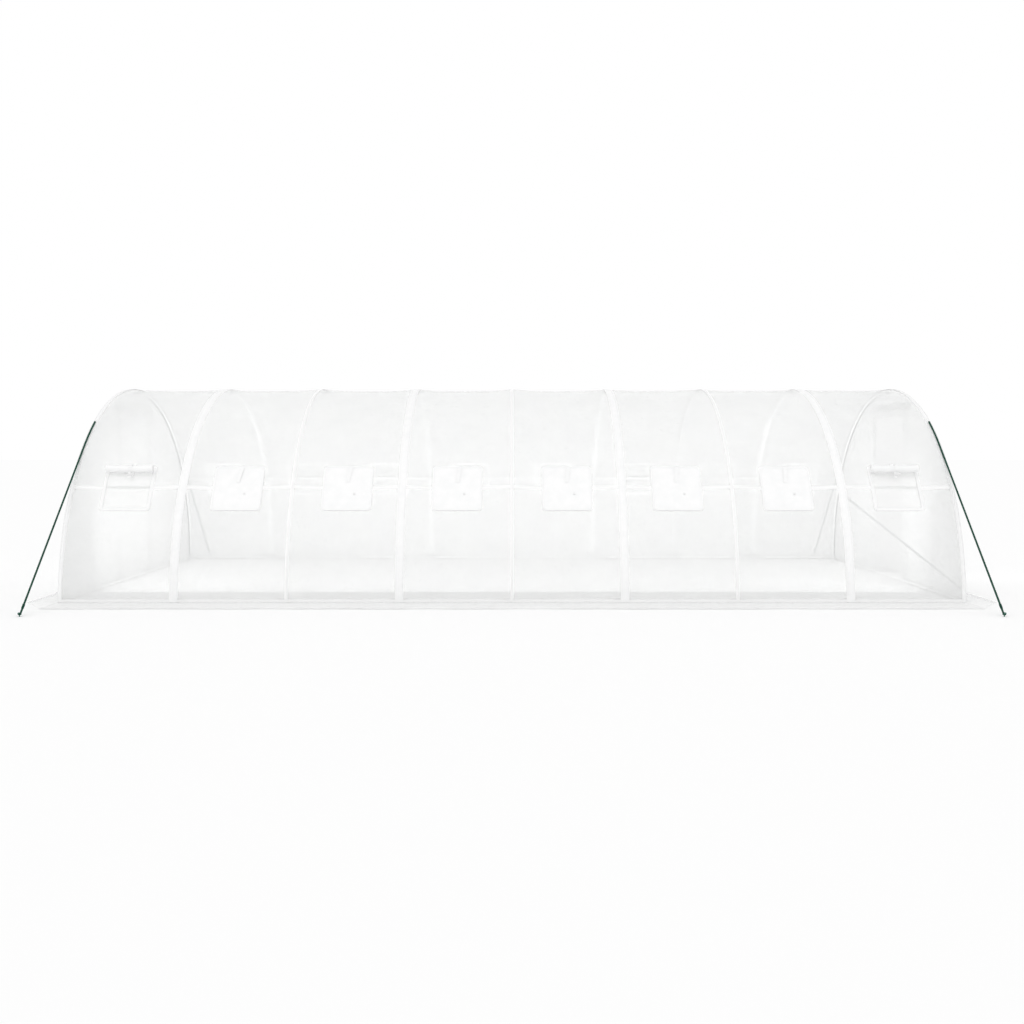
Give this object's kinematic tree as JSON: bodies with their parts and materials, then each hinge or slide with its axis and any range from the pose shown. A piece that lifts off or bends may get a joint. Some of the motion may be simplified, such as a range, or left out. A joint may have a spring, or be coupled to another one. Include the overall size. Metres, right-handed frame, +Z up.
{
  "type": "polytunnel greenhouse",
  "caption": "Round-arched polytunnel greenhouse: tube hoops under a milky film cover with net windows, zip doors, ground flaps and guy ropes.",
  "frame": {"origin": "ground level under the middle of the tunnel, at the bottom centre of the box", "axes": "+X along the ridge towards the end with the open doorway, +Y to the rear, +Z up"},
  "size_m": [8.5996, 5.66, 2.0023],
  "materials": {
    "tube": "white coated steel tube",
    "fitting": "moulded grey-white plastic",
    "film": "milky scrim-reinforced film",
    "flap": "milky scrim-reinforced film",
    "band": "white sewn tape",
    "net": "white insect net",
    "flap_cloth": "white film",
    "roll": "rolled milky film",
    "rope": "dark green twisted rope",
    "peg": "green coated steel"
  },
  "bodies": {
    "root": {"hoop_1": "tube", "hoop_2": "tube", "hoop_3": "tube", "hoop_4": "tube", "hoop_5": "tube", "hoop_6": "tube", "hoop_7": "tube", "hoop_8": "tube", "hoop_9": "tube", "ridge_pole": "tube", "front_side_rail": "tube", "rear_side_rail": "tube", "front_ground_rail": "tube", "rear_ground_rail": "tube", "left_sill": "tube", "right_sill": "tube", "front_brace": "tube", "rear_brace": "tube", "rail_clamps": "fitting", "hoop_feet": "fitting", "cover_panel_1": "film", "cover_panel_2": "film", "cover_panel_3": "film", "cover_panel_4": "film", "cover_panel_5": "film", "left_wall_front": "film", "left_wall_rear": "film", "left_wall_top": "film", "left_door": "film", "right_wall_front": "film", "right_wall_rear": "film", "right_wall_top": "film", "front_flap": "flap", "rear_flap": "flap", "left_flap": "flap", "right_flap": "flap", "seam_bands": "band", "window_borders": "band", "door_tapes": "band", "window_nets": "net", "window_flaps": "flap_cloth", "window_rolls": "roll", "right_door_roll": "roll", "guy_ropes": "rope", "pegs": "peg"}
  },
  "joints": []
}
